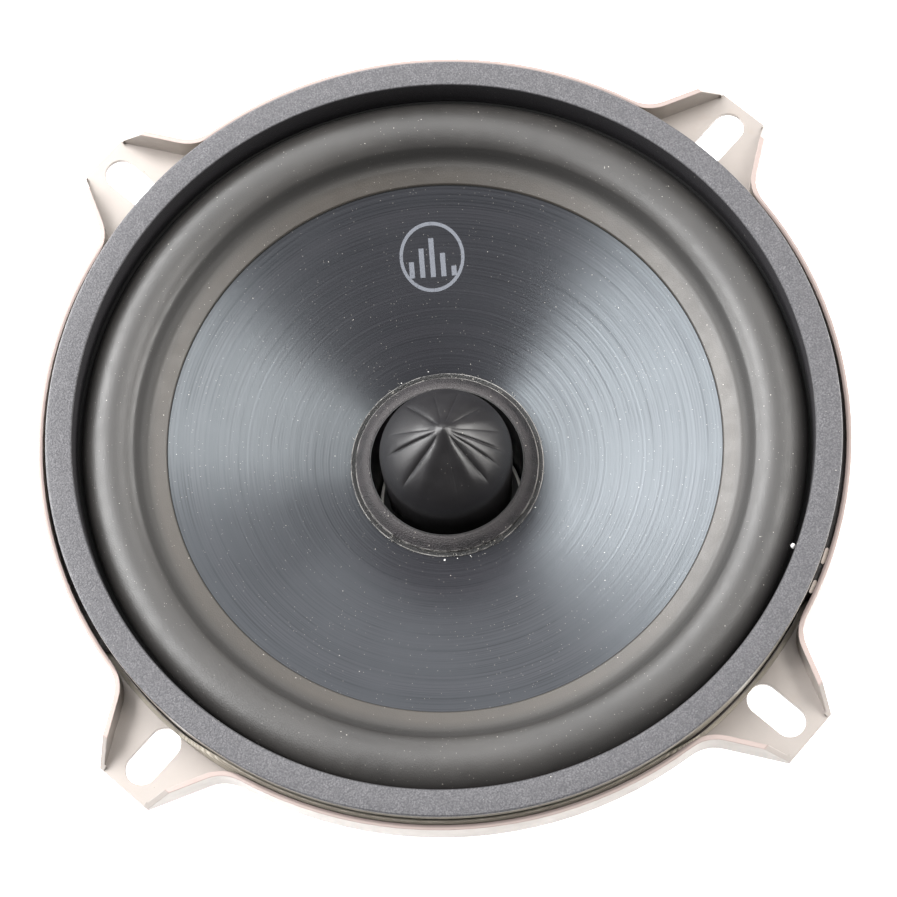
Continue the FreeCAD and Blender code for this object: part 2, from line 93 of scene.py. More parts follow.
CONE_SLOPE = 0.41
CONE_THICK = 0.5
CONE_RIM_R = 48.6
CONE_EDGE_Z = -0.6            # the cone's front face at the lip's edge
FORMER_OUT = high_mm("voice_coil_former").x
FORMER_TOP = high_mm("voice_coil_former").z
GLUE_GAP = 0.02
COLLAR_OUT = high_mm("cone_collar").x
COLLAR_FOOT = 0.85

PLUG_TIP = high_mm("phase_plug").z
PLUG_WIDE_R = high_mm("phase_plug").x
PLUG_WIDE_DROP = 12.2
PLUG_WIDE_Z = PLUG_TIP - PLUG_WIDE_DROP
PLUG_STEM_R = 10.05
PLUG_LOW = low_mm("phase_plug").z
SCREW_HOLE_R = 2.1
SCREW_HOLE_TOP = -23.0

SPIDER_IN = 13.6
SPIDER_OUT = high_mm("spider").x
SPIDER_THICK = 0.6
SPIDER_WAVES = 5
LEDGE_Z = -20.0

WINDING_OUT = high_mm("voice_coil_winding").x
WINDING_TOP = high_mm("voice_coil_winding").z
WINDING_LOW = low_mm("voice_coil_winding").z

BACK_Z = low_mm("t_yoke").z

VIEW_RIGHT_DEG = -48.8        # the row azimuth that lies to the right in the main view


def cone_front(radius):
    return CONE_EDGE_Z + (radius - LIP_EDGE_R) * CONE_SLOPE


def view_bearing(angle):
    """A row angle in radians as degrees round from the right of the main view."""
    return (math.degrees(angle) - VIEW_RIGHT_DEG + 180) % 360 - 180


def smoothstep(low, high, value):
    t = min(1.0, max(0.0, (value - low) / (high - low)))
    return t * t * (3 - 2 * t)


# ---------- mesh helpers ----------
def rounded(points, radii, steps=5):
    """The (radius, height) corners of a closed outline, turned into arcs of the given radii."""
    made = []
    count = len(points)
    for i, radius in enumerate(radii):
        corner = Vector(points[i])
        if radius < 1e-6:
            made.append(tuple(corner))
            continue
        inward = (Vector(points[i - 1]) - corner).normalized()
        outward = (Vector(points[(i + 1) % count]) - corner).normalized()
        half = inward.angle(outward) / 2
        centre = corner + (inward + outward).normalized() * (radius / math.sin(half))
        first = (corner + inward * (radius / math.tan(half)) - centre).normalized()
        last = (corner + outward * (radius / math.tan(half)) - centre).normalized()
        for k in range(steps + 1):
            made.append(tuple(centre + first.slerp(last, k / steps) * radius))
    return made


def softened(points, rounds=2):
    """An open line with its corners cut again and again, its ends kept."""
    for _ in range(rounds):
        cut = [points[0]]
        for a, b in zip(points, points[1:]):
            cut.append((a[0] * 0.75 + b[0] * 0.25, a[1] * 0.75 + b[1] * 0.25))
            cut.append((a[0] * 0.25 + b[0] * 0.75, a[1] * 0.25 + b[1] * 0.75))
        points = cut + [points[-1]]
    return points


def through(points, steps=8):
    """A smooth open line through the points."""
    padded = [points[0]] + list(points) + [points[-1]]
    made = []
    for a, b, c, d in zip(padded, padded[1:], padded[2:], padded[3:]):
        a, b, c, d = Vector(a), Vector(b), Vector(c), Vector(d)
        for k in range(steps):
            t = k / steps
            made.append(tuple(0.5 * (2 * b + (c - a) * t + (2 * a - 5 * b + 4 * c - d) * t ** 2
                                     + (3 * b - a - 3 * c + d) * t ** 3)))
    return made + [points[-1]]


def wall_outline(line, thickness):
    """Both sides of a wall whose middle follows the line."""
    right_side, left_side = [], []
    for i, point in enumerate(line):
        before = Vector(line[max(i - 1, 0)])
        after = Vector(line[min(i + 1, len(line) - 1)])
        along = (after - before).normalized()
        side = Vector((along.y, -along.x)) * thickness / 2
        right_side.append(tuple(Vector(point) + side))
        left_side.append(tuple(Vector(point) - side))
    return right_side + left_side[::-1]


def mesh_piece(name, points, faces, material, crease_deg=35):
    """A mesh object with its normals facing out, smooth but for edges sharper than crease_deg."""
    mesh = bpy.data.meshes.new(name)
    mesh.from_pydata([Vector(p) * MM for p in points], [], faces)
    mesh.validate()
    work = bmesh.new()
    work.from_mesh(mesh)
    bmesh.ops.recalc_face_normals(work, faces=work.faces)
    work.to_mesh(mesh)
    work.free()
    mesh.shade_smooth()
    mesh.set_sharp_from_angle(angle=math.radians(crease_deg))
    mesh.materials.append(material)
    made = bpy.data.objects.new(name, mesh)
    bpy.context.scene.collection.objects.link(made)
    return made


def turned_parts(outline, segments=360, shift=None):
    """Points and faces of a closed (radius, height) outline turned round Z.

    shift(r, z, angle) says how far a point goes out and up from its place.
    """
    points, rings, faces = [], [], []
    for r, z in outline:
        if r < 1e-6:
            rings.append([len(points)] * segments)
            points.append((0, 0, z))
            continue
        rings.append(list(range(len(points), len(points) + segments)))
        for i in range(segments):
            angle = 2 * math.pi * i / segments
            dr, dz = shift(r, z, angle) if shift else (0, 0)
            points.append(((r + dr) * math.cos(angle), (r + dr) * math.sin(angle), z + dz))
    for near, far in zip(rings, rings[1:] + rings[:1]):
        for i in range(segments):
            k = (i + 1) % segments
            face = tuple(dict.fromkeys((near[i], near[k], far[k], far[i])))
            if len(face) > 2:
                faces.append(face)
    return points, faces


def turned_piece(name, outline, material, segments=360, shift=None, crease_deg=35):
    points, faces = turned_parts(outline, segments, shift)
    return mesh_piece(name, points, faces, material, crease_deg)


def frames_along(path):
    """Each point of the path, with two unit vectors square to the path and to each other."""
    upright = Vector((0, 0, 1))
    for i, place in enumerate(path):
        along = (path[min(i + 1, len(path) - 1)] - path[max(i - 1, 0)]).normalized()
        if abs(along.dot(upright)) > 0.95:
            upright = Vector((0, 1, 0))
        across = along.cross(upright).normalized()
        upright = across.cross(along).normalized()
        yield place, across, upright


def stacked_faces(rings, around):
    """Faces of a row of rings, each of so many points around, with a face at each end."""
    faces = []
    for i in range(rings - 1):
        near, far = i * around, (i + 1) * around
        for k in range(around):
            n = (k + 1) % around
            faces.append((near + k, near + n, far + n, far + k))
    last = (rings - 1) * around
    return faces + [tuple(reversed(range(around))), tuple(range(last, last + around))]


def tube_parts(path, radius, sides=8):
    """Points and faces of a closed tube along the path."""
    points = []
    for place, across, other in frames_along(path):
        for k in range(sides):
            turn = 2 * math.pi * k / sides
            points.append(place + (across * math.cos(turn) + other * math.sin(turn)) * radius)
    return points, stacked_faces(len(path), sides)


def joined(parts):
    """Many parts' points and faces as one part's."""
    points, faces = [], []
    for more_points, more_faces in parts:
        faces += [tuple(len(points) + i for i in face) for face in more_faces]
        points += more_points
    return points, faces


def polar(radius, degrees, z):
    angle = math.radians(degrees)
    return Vector((radius * math.cos(angle), radius * math.sin(angle), z))


def ripples(seed, number, counts, sizes):
    """A sum of waves round the circle, as a function of the angle."""
    rough = random.Random(seed)
    waves = [(rough.randint(*counts), rough.uniform(0, 6.3), rough.uniform(*sizes)) for _ in range(number)]
    return lambda angle: sum(size * math.sin(count * angle + start) for count, start, size in waves)


# ---------- material helper ----------
class Surface:
    """A node material being built up from its Principled shader."""

    def __init__(self, name, **settings):
        self.material = bpy.data.materials.new(name)
        self.material.use_nodes = True
        self.tree = self.material.node_tree
        self.shader = self.tree.nodes["Principled BSDF"]
        for key, value in settings.items():
            socket = key.replace("_", " ").title().replace("Ior", "IOR")
            self.shader.inputs[socket].default_value = value
        self.place = self.add("TexCoord").outputs["Object"]
        self.normal = None

    def add(self, kind, values=(), **properties):
        made = self.tree.nodes.new("ShaderNode" + kind)
        for key, value in properties.items():
            setattr(made, key, value)
        for key, value in dict(values).items():
            if isinstance(value, bpy.types.NodeSocket):
                self.tree.links.new(value, made.inputs[key])
            else:
                made.inputs[key].default_value = value
        return made

    def calc(self, operation, a, b=0.0, c=0.0):
        return self.add("Math", {0: a, 1: b, 2: c}, operation=operation).outputs[0]

    def times(self, a, b):
        return self.calc("MULTIPLY", a, b)

    def split(self):
        parts = self.add("SeparateXYZ", {0: self.place})
        return tuple(parts.outputs)

    def radius(self):
        x, y, _ = self.split()
        return self.calc("SQRT", self.calc("ADD", self.calc("POWER", x, 2.0), self.calc("POWER", y, 2.0)))

    def height(self):
        return self.split()[2]

    def stretched(self, *sizes):
        return self.add("VectorMath", {0: self.place, 1: sizes}, operation="MULTIPLY").outputs[0]

    def noise(self, size, detail=3.0, rough=0.55, at=None):
        values = {"Vector": at or self.place, "Scale": 1 / (size * MM), "Detail": detail, "Roughness": rough}
        return self.add("TexNoise", values).outputs["Fac"]

    def streaks(self, along, size, detail=4.0, rough=0.6):
        values = {"W": along, "Scale": 1 / (size * MM), "Detail": detail, "Roughness": rough}
        return self.add("TexNoise", values, noise_dimensions="1D").outputs["Fac"]

    def cells(self, size, feature="F1", at=None):
        values = {"Vector": at or self.place, "Scale": 1 / (size * MM)}
        return self.add("TexVoronoi", values, feature=feature)

    def between(self, value, low, high, out_low=0.0, out_high=1.0):
        values = {"Value": value, "From Min": low, "From Max": high, "To Min": out_low, "To Max": out_high}
        return self.add("MapRange", values, clamp=True).outputs["Result"]

    def vary(self, value, out_low, out_high):
        """As between, over the middle of a noise's range."""
        return self.between(value, 0.3, 0.7, out_low, out_high)

    def span(self, place, low, high, out_low=0.0, out_high=1.0):
        """As between, for a radius or height whose limits are in mm."""
        return self.between(place, low * MM, high * MM, out_low, out_high)

    def mixed(self, factor, a, b, blend="MIX"):
        made = self.add("Mix", data_type="RGBA", blend_type=blend)
        for index, value in ((0, factor), (6, a), (7, b)):
            if isinstance(value, bpy.types.NodeSocket):
                self.tree.links.new(value, made.inputs[index])
            elif index:
                made.inputs[index].default_value = (*value, 1)
            else:
                made.inputs[index].default_value = value
        return made.outputs[2]

    def shade(self, value, first, second, low=0.3, high=0.7):
        """The first colour where the value is low, the second where it is high."""
        return self.mixed(self.between(value, low, high), first, second)

    def specks(self, size, share, spread=0.16):
        """1 on small grains that lie in a few of the cells, 0 elsewhere."""
        grains = self.cells(size)
        shade = self.add("SeparateColor", {0: grains.outputs["Color"]}).outputs[0]
        chosen = self.calc("LESS_THAN", shade, share)
        return self.times(self.between(grains.outputs["Distance"], spread, spread * 0.6), chosen)

    def bump(self, height, depth, strength=1.0):
        """Adds relief of the given depth in mm where height goes from 0 to 1."""
        values = {"Height": height, "Distance": depth * MM, "Strength": strength}
        if self.normal:
            values["Normal"] = self.normal
        self.normal = self.add("Bump", values).outputs["Normal"]

    def bevel(self, size):
        self.normal = self.add("Bevel", {"Radius": size * MM}, samples=4).outputs["Normal"]

    def finish(self, color=None, roughness=None, metallic=None):
        for socket, value in (("Base Color", color), ("Roughness", roughness), ("Metallic", metallic),
                              ("Normal", self.normal)):
            if value is not None:
                self.tree.links.new(value, self.shader.inputs[socket])
        return self.material

    def mottled(self, grain, first, second, smooth, dull, low=0.3, high=0.7):
        """Finishes in two tints that follow the grain, and a roughness that follows it too."""
        return self.finish(self.shade(grain, first, second, low, high), self.vary(grain, smooth, dull))


# ---------- materials ----------
DUST = (0.55, 0.52, 0.47)


def dusted(surface, color, share=0.5):
    """Fine pale dust, and a few larger grains."""
    for size, grain, strength in ((0.62, 0.072, 0.42), (1.9, 0.1, 0.8)):
        chosen = surface.specks(size, share, grain / size)
        color = surface.mixed(surface.times(chosen, strength), color, DUST)
    return color


def gasket_material():
    s = Surface("gasket_grain")
    pebble = s.cells(0.26, "SMOOTH_F1").outputs["Distance"]
    fine = s.noise(0.12, 4)
    broad = s.noise(1.4, 5, 0.65)
    color = s.shade(broad, (0.078, 0.076, 0.081), (0.118, 0.115, 0.122), 0.35, 0.65)
    color = s.shade(pebble, color, (0.05, 0.049, 0.055), 0.2, 0.6)
    height, radius = s.height(), s.radius()
    layer = s.streaks(height, 0.5, 3, 0.6)
    side = s.shade(layer, (0.16, 0.145, 0.125), (0.36, 0.33, 0.28), 0.4, 0.6)
    outside = s.span(radius, RING_OUT - 0.36, RING_OUT - 0.32)
    below = s.span(height, RING_TOP - 0.35, RING_TOP - 0.5)
    color = s.mixed(s.times(outside, below), color, side)
    # Painted shade: the ring's inner wall is coloured near black for the shade that falls on it.
    inner_wall_shade = s.span(radius, RING_IN + 0.05, RING_IN + 0.3)
    color = s.mixed(inner_wall_shade, (0.012, 0.011, 0.013), color)
    color = dusted(s, color, 0.1)
    s.bump(pebble, 0.07)
    s.bump(fine, 0.035)
    edge_wear_and_sheen = s.span(radius, RING_OUT - 0.42, RING_OUT - 0.3, 0.0, 0.2)
    return s.finish(color, s.calc("SUBTRACT", s.between(fine, 0.2, 0.8, 0.5, 0.68), edge_wear_and_sheen))


def rubber_material():
    s = Surface("surround_butyl", specular_ior_level=0.7)
    fine = s.noise(0.22, 4)
    broad = s.noise(14, 3)
    color = s.shade(broad, (0.026, 0.0245, 0.0235), (0.037, 0.0345, 0.0325))
    radius = s.radius()
    # Painted shade: the lip's first tenth of a millimetre is coloured near black for the shadow of its step on
    # the cone. From just inside the ring's wall outward the rubber is near black for the shade the wall casts.
    # Both are made rough too.
    edge = s.span(radius, LIP_EDGE_R + 0.12, LIP_EDGE_R + 0.06)
    groove_shade = s.span(radius, RING_IN - 0.95, RING_IN - 0.6)
    edge = s.calc("MAXIMUM", edge, groove_shade)
    lip = s.span(radius, LIP_END_R + 0.6, LIP_END_R - 0.4)
    color = s.mixed(s.times(lip, s.vary(broad, 0.6, 1.0)), color, (0.047, 0.04, 0.033))
    color = dusted(s, color)
    color = s.mixed(edge, color, (0.004, 0.004, 0.004))
    # Painted shade: the valley between the lip and the roll is coloured darker and made rougher, for the shade
    # that falls in it.
    valley_shade = s.times(s.span(radius, LIP_END_R - 1.7, LIP_END_R - 0.3),
                   s.span(radius, LIP_END_R + 2.0, LIP_END_R + 1.3))
    color = s.mixed(s.times(valley_shade, 0.7), color, (0.012, 0.011, 0.01))
    s.bump(fine, 0.03)
    shine = s.vary(s.noise(2.5, 4), 0.38, 0.47)
    shine = s.calc("MAXIMUM", shine, s.times(valley_shade, 0.65))
    return s.finish(color, s.calc("MAXIMUM", shine, edge))


def cone_material():
    s = Surface("cone_turned_polypropylene", anisotropic=0.85, anisotropic_rotation=0.25,
                specular_ior_level=1.0, specular_tint=(0.85, 0.94, 1.0, 1.0))
    tangent = s.add("Tangent", direction_type="RADIAL", axis="Z").outputs[0]
    s.tree.links.new(tangent, s.shader.inputs["Tangent"])
    wander = s.times(s.noise(30, 2), 0.35 * MM)
    radius = s.calc("ADD", s.radius(), wander)
    grooves = s.streaks(radius, 0.36, 2, 0.8)
    bands = s.streaks(radius, 3.0, 3, 0.6)
    scored = s.between(s.streaks(radius, 0.8, 2, 0.6), 0.6, 0.64)
    scored = s.times(scored, s.between(s.noise(22, 2), 0.4, 0.6))
    color = s.shade(bands, (0.0135, 0.0125, 0.0155), (0.0175, 0.016, 0.0195), 0.35, 0.65)
    # Painted shade: the cone is near black from just inside the lip's edge, a dark line for the shadow of the
    # lip's step.
    edge = s.span(s.radius(), LIP_EDGE_R - 0.06, LIP_EDGE_R - 0.02)
    color = dusted(s, color)
    color = s.mixed(edge, color, (0.003, 0.003, 0.003))
    s.bump(grooves, 0.012)
    s.bump(scored, 0.005)
    shine = s.calc("ADD", s.vary(grooves, 0.29, 0.4), s.times(scored, 0.04))
    lines = s.between(s.streaks(radius, 0.32, 1, 0.5), 0.46, 0.62, 0.0, 0.24)
    lines = s.times(lines, s.between(s.noise(16, 3), 0.4, 0.6, 0.1, 1.0))
    lines = s.calc("ADD", lines, s.times(scored, 0.14))
    return s.finish(color, s.calc("MAXIMUM", shine, edge), lines)


def print_material():
    s = Surface("cone_print_ink")
    s.bump(s.noise(0.2, 3), 0.01)
    return s.mottled(s.noise(0.5, 5, 0.7), (0.15, 0.16, 0.185), (0.07, 0.075, 0.09), 0.42, 0.6, 0.55, 0.72)


def collar_material():
    s = Surface("collar_doped_fibre")
    radius = s.calc("ADD", s.radius(), s.times(s.noise(0.4, 4), 0.12 * MM))
    step_r = COLLAR_OUT - COLLAR_FOOT
    fibre = s.cells(0.3, at=s.stretched(1, 1, 3)).outputs["Distance"]
    broad = s.noise(2.2, 4)
    color = s.shade(broad, (0.007, 0.006, 0.007), (0.026, 0.022, 0.024), 0.35, 0.65)
    inner = s.span(radius, FORMER_OUT + 1.5, FORMER_OUT + 0.9)
    color = s.mixed(s.times(inner, 0.6), color, (0.06, 0.054, 0.055))
    foot = s.span(radius, step_r + 0.03, step_r + 0.12)
    color = s.mixed(foot, color, (0.009, 0.009, 0.009))
    shine = s.vary(broad, 0.46, 0.66)
    # Painted highlight: the collar's two edges are coloured pale. This is patchy wear all round, and full
    # strength on the side facing the upper right of the main view, where they catch the light.
    x, y, _ = s.split()
    facing = s.calc("MULTIPLY_ADD", x, 0.947, s.times(y, -0.322))
    highlit_side = s.between(s.calc("DIVIDE", facing, s.radius()), 0.3, 0.8)
    for edge in (step_r + 0.02, COLLAR_OUT):
        ring = s.calc("ABSOLUTE", s.calc("SUBTRACT", radius, edge * MM))
        shine = s.calc("SUBTRACT", shine, s.span(ring, 0.2, 0.1, 0.0, 0.28))
        patchy_wear_and_highlight = s.calc("MAXIMUM", s.between(broad, 0.4, 0.6, 0.1, 0.7), highlit_side)
        edge_wear_and_sheen = s.times(s.span(ring, 0.12, 0.04), patchy_wear_and_highlight)
        color = s.mixed(edge_wear_and_sheen, color, (0.34, 0.325, 0.31))
    color = s.mixed(s.specks(0.7, 0.1, 0.2), color, (0.3, 0.28, 0.25))
    s.bump(fibre, 0.09)
    s.bump(s.noise(0.35, 5, 0.7), 0.1)
    return s.finish(color, shine)


def plug_material():
    s = Surface("plug_satin_black", specular_ior_level=0.75)
    grain = s.noise(0.3, 5, 0.6)
    broad = s.noise(3.5, 3)
    color = s.shade(broad, (0.008, 0.007, 0.008), (0.014, 0.013, 0.014))
    color = dusted(s, color, 0.1)
    s.bump(grain, 0.02)
    return s.finish(color, s.between(grain, 0.25, 0.75, 0.34, 0.42))


def steel_material():
    s = Surface("zinc_plated_sheet", metallic=0.45)
    s.bevel(0.18)
    cloud = s.noise(7, 4)
    spangle = s.cells(1.4).outputs["Distance"]
    stain = s.between(s.noise(4, 5, 0.65), 0.58, 0.75)
    color = s.shade(cloud, (0.34, 0.304, 0.28), (0.31, 0.282, 0.262))
    color = s.mixed(s.times(stain, 0.35), color, (0.31, 0.26, 0.22))
    sheared = s.span(s.height(), LIP_TOP - 0.3, LIP_TOP - 0.05, 0.0, 0.55)
    color = s.mixed(sheared, color, (0.36, 0.27, 0.25))
    shaded = s.span(s.radius(), LIP_R - 0.3, LIP_R - 0.55)
    color = s.mixed(s.times(sheared, shaded), color, (0.05, 0.03, 0.03))
    color = s.mixed(s.specks(2.8, 0.3, 0.03), color, (0.12, 0.09, 0.07))
    s.bump(s.noise(2.2, 3), 0.02)
    s.bump(s.noise(0.3, 3), 0.006)
    shine = s.calc("ADD", s.vary(cloud, 0.34, 0.44), s.between(spangle, 0, 1, -0.03, 0.04))
    return s.finish(color, shine)


def plate_material():
    s = Surface("plated_motor_steel", metallic=1.0)
    s.bevel(0.25)
    cloud = s.noise(6, 5)
    color = s.shade(cloud, (0.52, 0.51, 0.48), (0.42, 0.41, 0.37), 0.35, 0.7)
    radius = s.radius()
    # Painted shade: the pole's top under the plug, deep in the hole, is coloured near black. Its outer rim keeps
    # the plated colour.
    pole_top_shade = s.times(s.span(radius, 11.75, 11.6),
                   s.span(s.height(), PLUG_LOW - 1, PLUG_LOW - 0.5))
    color = s.mixed(pole_top_shade, color, (0.03, 0.03, 0.03))
    grooves = s.streaks(radius, 0.7, 5, 0.65)
    s.bump(grooves, 0.008)
    s.bump(s.noise(0.4, 4), 0.01)
    return s.finish(color, s.vary(cloud, 0.3, 0.44))


def bright_steel_material():
    s = Surface("bright_steel", metallic=1.0)
    s.bevel(0.12)
    s.bump(s.noise(0.35, 4), 0.012)
    return s.mottled(s.noise(1.1, 5, 0.65), (0.66, 0.65, 0.63), (0.43, 0.41, 0.38), 0.24, 0.42, 0.4, 0.7)


def ferrite_material():
    s = Surface("ferrite")
    s.bevel(0.3)
    grain = s.noise(0.5, 5, 0.7)
    cloud = s.noise(8, 4)
    color = s.shade(cloud, (0.022, 0.022, 0.024), (0.045, 0.044, 0.045))
    color = s.mixed(s.specks(0.9, 0.2, 0.28), color, (0.1, 0.1, 0.1))
    scuff = s.between(s.noise(3.2, 6, 0.75, s.stretched(1, 1, 3.5)), 0.6, 0.68)
    color = s.mixed(s.times(scuff, 0.5), color, (0.12, 0.115, 0.11))
    pits = s.specks(2.2, 0.22, 0.35)
    s.bump(s.calc("SUBTRACT", 1.0, pits), 0.12)
    s.bump(grain, 0.05)
    return s.finish(color, s.vary(grain, 0.45, 0.68))


def board_material():
    s = Surface("phenolic_paper")
    s.bevel(0.12)
    layers = s.noise(0.8, 4, 0.6, s.stretched(0.2, 0.2, 6))
    fibre = s.noise(0.9, 5, 0.7)
    color = s.shade(fibre, (0.16, 0.07, 0.028), (0.26, 0.13, 0.055), 0.35, 0.7)
    color = s.mixed(s.between(layers, 0.45, 0.62, 0, 0.4), color, (0.09, 0.04, 0.018))
    s.bump(fibre, 0.02)
    return s.finish(color, s.vary(fibre, 0.4, 0.58))


def brass_material():
    s = Surface("brass_eyelet", metallic=1.0)
    s.bevel(0.08)
    s.bump(s.noise(0.25, 3), 0.01)
    return s.mottled(s.noise(0.8, 5, 0.65), (0.76, 0.55, 0.24), (0.42, 0.27, 0.11), 0.25, 0.45, 0.4, 0.7)


def tin_material():
    s = Surface("tinned_blade", metallic=1.0)
    s.bevel(0.1)
    flow = s.noise(1.6, 5, 0.6, s.stretched(1, 0.35, 1))
    s.bump(flow, 0.02)
    s.bump(s.noise(0.3, 3), 0.006)
    return s.mottled(flow, (0.76, 0.745, 0.71), (0.56, 0.54, 0.49), 0.28, 0.46, 0.35, 0.7)


def solder_material():
    s = Surface("solder", metallic=1.0)
    skin = s.noise(0.5, 4, 0.6)
    flux = s.between(s.noise(1.2, 4), 0.55, 0.7)
    color = s.shade(skin, (0.66, 0.66, 0.67), (0.45, 0.45, 0.47), 0.35, 0.7)
    color = s.mixed(s.times(flux, 0.5), color, (0.3, 0.19, 0.08))
    s.bump(skin, 0.04)
    return s.finish(color, s.vary(skin, 0.22, 0.45))


def tinsel_material():
    s = Surface("tinsel_braid", metallic=0.7)
    strand = s.cells(0.16, at=s.stretched(1, 0.55, 1)).outputs["Distance"]
    color = s.shade(strand, (0.62, 0.44, 0.27), (0.2, 0.12, 0.07), 0.2, 0.7)
    s.bump(s.calc("SUBTRACT", 1.0, strand), 0.05)
    return s.finish(color, s.between(strand, 0.2, 0.8, 0.35, 0.6))


def copper_material():
    s = Surface("enamelled_copper", metallic=0.9)
    turns = s.calc("SINE", s.times(s.height(), 2 * math.pi / (0.3 * MM)))
    tint = s.noise(1.5, 3)
    color = s.shade(tint, (0.46, 0.15, 0.05), (0.30, 0.085, 0.03))
    s.bump(s.between(turns, -1, 1), 0.08)
    return s.finish(color, s.vary(tint, 0.22, 0.36))


def former_material():
    s = Surface("anodised_former")
    grain = s.noise(0.8, 4, 0.6, s.stretched(1, 1, 0.3))
    s.bump(grain, 0.012)
    return s.mottled(grain, (0.012, 0.012, 0.013), (0.026, 0.025, 0.025), 0.36, 0.5, 0.35, 0.7)


def kraft_material():
    s = Surface("kraft_wrap")
    fibre = s.noise(0.45, 5, 0.7, s.stretched(1, 1, 2.5))
    s.bump(fibre, 0.03)
    return s.mottled(fibre, (0.16, 0.085, 0.036), (0.28, 0.16, 0.075), 0.65, 0.82, 0.35, 0.68)


def adhesive_material():
    s = Surface("black_adhesive", specular_ior_level=0.3)
    lumps = s.noise(0.9, 3)
    color = s.shade(lumps, (0.01, 0.007, 0.007), (0.022, 0.016, 0.015))
    s.bump(lumps, 0.12)
    return s.finish(color, s.vary(s.noise(0.4, 3), 0.35, 0.55))


def spider_material():
    """Resin-dipped cloth: a plain weave on the square of X and Y."""
    s = Surface("spider_resin_cloth")
    x, y, _ = s.split()
    pitch = 0.55 * MM
    warp = s.calc("SINE", s.times(x, 2 * math.pi / pitch))
    weft = s.calc("SINE", s.times(y, 2 * math.pi / pitch))
    over = s.between(s.times(warp, weft), -1, 1)
    threads = s.calc("MAXIMUM", s.calc("ABSOLUTE", warp), s.calc("ABSOLUTE", weft))
    resin = s.noise(5, 4)
    color = s.shade(resin, (0.47, 0.26, 0.07), (0.33, 0.165, 0.04))
    color = s.shade(threads, (0.16, 0.08, 0.02), color, 0.25, 0.75)
    s.bump(over, 0.12)
    s.bump(s.between(threads, 0, 1), 0.08)
    return s.finish(color, s.vary(resin, 0.6, 0.78))


def fibre_material():
    s = Surface("glue_fibre", roughness=0.55)
    s.bump(s.noise(0.1, 2), 0.01)
    return s.finish(s.shade(s.noise(1.5, 3), (0.5, 0.48, 0.44), (0.16, 0.15, 0.14), 0.35, 0.65))


def gasket_layer_material():
    s = Surface("olive_gasket_layers", roughness=0.75)
    height = s.calc("ADD", s.height(), s.times(s.noise(1.5, 3), 0.15 * MM))
    layer = s.streaks(height, 0.3, 2)
    s.bump(layer, 0.05)
    return s.finish(s.shade(layer, (0.2, 0.175, 0.145), (0.38, 0.35, 0.29), 0.4, 0.6))


def lit_patch_material():
    # Painted light: a pale beige, far brighter than the steel, for the lit patches of the trough's floor.
    s = Surface("beige_lit_patch", roughness=0.7)
    patch_grain = s.noise(0.3, 4, 0.7)
    s.bump(patch_grain, 0.02)
    return s.finish(s.shade(patch_grain, (0.84, 0.74, 0.68), (0.7, 0.6, 0.54)))


def crumb_material():
    s = Surface("white_glue_crumb", roughness=0.6)
    skin = s.noise(0.2, 3)
    s.bump(skin, 0.03)
    return s.finish(s.shade(skin, (0.9, 0.89, 0.87), (0.74, 0.72, 0.7)))


def floor_material():
    s = Surface("pale_floor", roughness=0.9, emission_color=(1, 1, 1, 1), emission_strength=0.6)
    return s.finish(s.shade(s.noise(60, 3), (0.85, 0.85, 0.85), (0.87, 0.87, 0.87)))


# ---------- the pieces seen from the front ----------
def gasket_ring():
    low_out = RING_OUT - 0.3
    corners = [
        (RING_IN, RING_LOW),
        (low_out, RING_LOW),
        (low_out, RING_LAYER_Z),
        (RING_OUT, RING_LAYER_Z + 0.12),
        (RING_OUT, RING_TOP),
        (RING_IN, RING_TOP),
    ]
    outline = rounded(corners, [0, 0, 0.05, 0.1, 0.32, 0.3])
    made = turned_piece("front_gasket", outline, gasket_material(), 480)
    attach(made, "frame")
    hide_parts("gasket_ring")


def lip_top(radius):
    thick = 0.05 + 0.3 * smoothstep(LIP_EDGE_R, LIP_EDGE_R + 0.25, radius)
    return cone_front(radius) + (GLUE_GAP + thick) * math.hypot(1, CONE_SLOPE)


def roll_face(off, inner_z, outer_z):
    """One face of the roll, off mm out of its middle, from its inner foot to its outer one."""
    made = []
    for step in range(2, 17):
        turn = math.pi * (1 - step / 18)
        foot = inner_z if turn > math.pi / 2 else outer_z
        radius = ROLL_MID_R + (ROLL_HALF + off) * math.cos(turn)
        made.append((radius, foot + (ROLL_TOP + off - foot) * math.sin(turn)))
    return made


def surround_outline():
    """The lip on the cone, the half roll and the flange under the ring: out on top, back below."""
    half = RUBBER / 2
    flange_top, flange_low = RING_LOW - GLUE_GAP, FLANGE_LOW + GLUE_GAP
    inner_r, outer_r = ROLL_MID_R - ROLL_HALF, ROLL_MID_R + ROLL_HALF
    valley_r = LIP_END_R - 1.0
    top = [(r, lip_top(r)) for r in (LIP_EDGE_R + (valley_r - LIP_EDGE_R) * (k / 20) ** 2 for k in range(21))]
    valley = [(valley_r + 0.1, lip_top(valley_r + 0.1)), (inner_r - 0.75, lip_top(inner_r - 0.75))]
    flange = [(outer_r + half, flange_top), (outer_r + half + 0.6, flange_top)]
    top += softened(valley + roll_face(half, lip_top(inner_r), flange_top)[1:] + flange)
    rim_r, rim_z = CONE_RIM_R + 0.2, cone_front(CONE_RIM_R + 0.2) + GLUE_GAP
    corner = (inner_r + half, cone_front(inner_r + half) + GLUE_GAP)
    under_flange = [(outer_r - half, flange_low), (outer_r + half, flange_low)]
    low = [(LIP_EDGE_R, cone_front(LIP_EDGE_R) + GLUE_GAP)]
    low += softened([(rim_r, rim_z), corner] + roll_face(-half, corner[1], flange_low) + under_flange)
    return top + [(FLANGE_OUT, flange_top), (FLANGE_OUT, flange_low)] + low[::-1]


